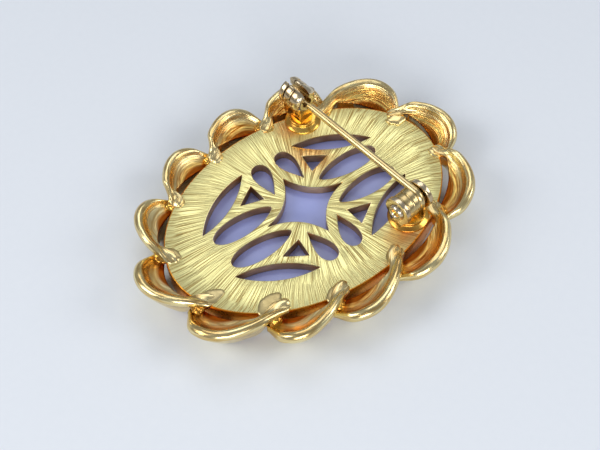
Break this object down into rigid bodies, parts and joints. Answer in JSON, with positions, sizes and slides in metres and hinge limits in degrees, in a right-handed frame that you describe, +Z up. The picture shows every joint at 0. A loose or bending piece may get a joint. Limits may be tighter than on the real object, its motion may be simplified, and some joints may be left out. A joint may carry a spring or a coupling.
{
  "type": "brooch",
  "caption": "Oval brooch: domed glazed porcelain plaque in a gilded border of hollow scrolls, with a pierced back plate, a hinged pin and a locking safety catch.",
  "frame": {"origin": "under the middle of the plate, on the surface that the brooch lies face down on", "axes": "+Z up, out of the brooch's back; +Y towards the brooch's top when worn; +X to the right seen from the back, on the hinge's side"},
  "size_m": [0.0413, 0.0534, 0.0121],
  "materials": {
    "gilded_metal": "polished gilding with hand-engraved strokes on the plate",
    "porcelain": "lilac porcelain, glazed",
    "gilded_findings": "polished gilding",
    "pin_wire": "polished pale wire"
  },
  "bodies": {
    "body": {"setting": "gilded_metal", "porcelain_plaque": "porcelain", "hinge_rivet": "gilded_findings"},
    "pin": {"pin_stem": "pin_wire"},
    "roller": {"catch_roller": "gilded_findings"}
  },
  "joints": [
    {"name": "pin_hinge", "type": "hinge", "parent": "body", "child": "pin", "pos_m": [0.01012, 0.01176, 0.0084], "axis": [-0.134, 0.991, 0], "range_deg": [0, 100]},
    {"name": "catch_turn", "type": "hinge", "parent": "body", "child": "roller", "pos_m": [-0.01377, 0.00853, 0.0101], "axis": [0.991, 0.134, 0], "range_deg": [0, 110]}
  ]
}
